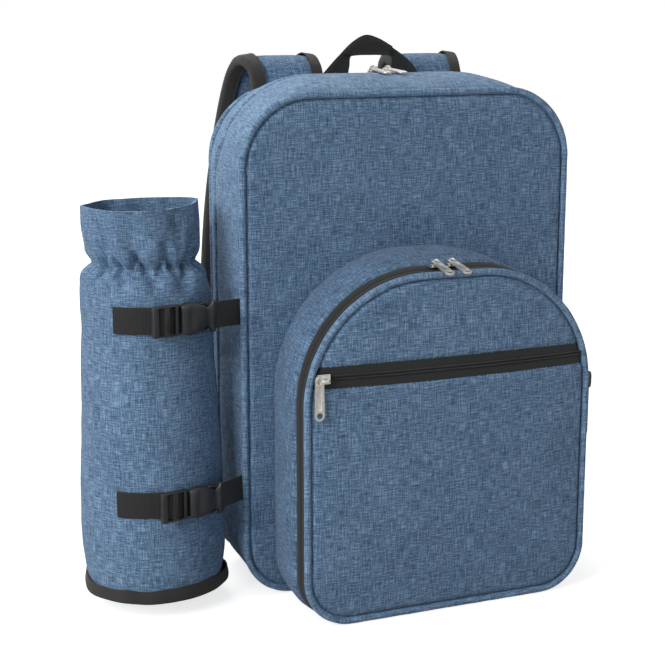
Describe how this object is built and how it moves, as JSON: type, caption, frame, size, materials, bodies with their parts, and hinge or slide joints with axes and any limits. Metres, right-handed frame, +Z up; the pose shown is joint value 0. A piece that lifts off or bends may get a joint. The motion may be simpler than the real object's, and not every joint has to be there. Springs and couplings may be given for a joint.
{
  "type": "cooler backpack",
  "caption": "Rounded box backpack in heather cloth with an arched front pocket, padded shoulder straps, a grab handle and a buckled bottle sleeve.",
  "frame": {"origin": "middle of the flat base of the main body", "axes": "+Z up, -Y to the front pocket, +X to the mesh pocket's side, away from the bottle sleeve"},
  "size_m": [0.4015, 0.2379, 0.4314],
  "materials": {
    "heather_cloth": "heathered blue polyester weave",
    "black_webbing": "ribbed black webbing",
    "binding": "brown-black woven binding tape",
    "zip_tape": "black zip tape with a nylon coil",
    "zip_metal": "dark nickel plated zinc",
    "black_plastic": "moulded black acetal with a satin face",
    "black_net": "black elastic net"
  },
  "bodies": {
    "root": {"main_front_panel": "heather_cloth", "main_piping": "heather_cloth", "gusset_front": "heather_cloth", "gusset_base": "heather_cloth", "gusset_back": "heather_cloth", "back_piping": "heather_cloth", "back_panel": "heather_cloth", "main_zipper": "zip_tape", "pocket_gusset": "heather_cloth", "pocket_base": "heather_cloth", "pocket_piping": "heather_cloth", "pocket_panel_upper": "heather_cloth", "pocket_panel_lower": "heather_cloth", "pocket_zip_strip": "zip_tape", "pocket_zipper": "zip_tape", "main_left_slider": "zip_metal", "main_left_pull": "zip_metal", "main_right_slider": "zip_metal", "main_right_pull": "zip_metal", "pocket_left_slider": "zip_metal", "pocket_left_pull": "zip_metal", "pocket_right_slider": "zip_metal", "pocket_right_pull": "zip_metal", "strip_slider": "zip_metal", "strip_pull": "zip_metal", "grab_handle": "black_webbing", "strap_pad_left": "heather_cloth", "strap_pad_right": "heather_cloth", "strap_binding_left": "binding", "strap_binding_right": "binding", "strap_webbing_left": "black_webbing", "strap_webbing_right": "black_webbing", "strap_anchor_left": "heather_cloth", "strap_anchor_right": "heather_cloth", "strap_adjuster_left": "black_plastic", "strap_adjuster_right": "black_plastic", "sleeve_body": "heather_cloth", "sleeve_base": "heather_cloth", "sleeve_binding": "binding", "sleeve_webbing_upper": "black_webbing", "sleeve_webbing_lower": "black_webbing", "side_webbing_upper": "black_webbing", "side_webbing_lower": "black_webbing", "buckle_plug_upper": "black_plastic", "buckle_plug_lower": "black_plastic", "buckle_socket_upper": "black_plastic", "buckle_socket_lower": "black_plastic", "mesh_pocket": "black_net", "mesh_hem": "black_webbing"}
  },
  "joints": []
}
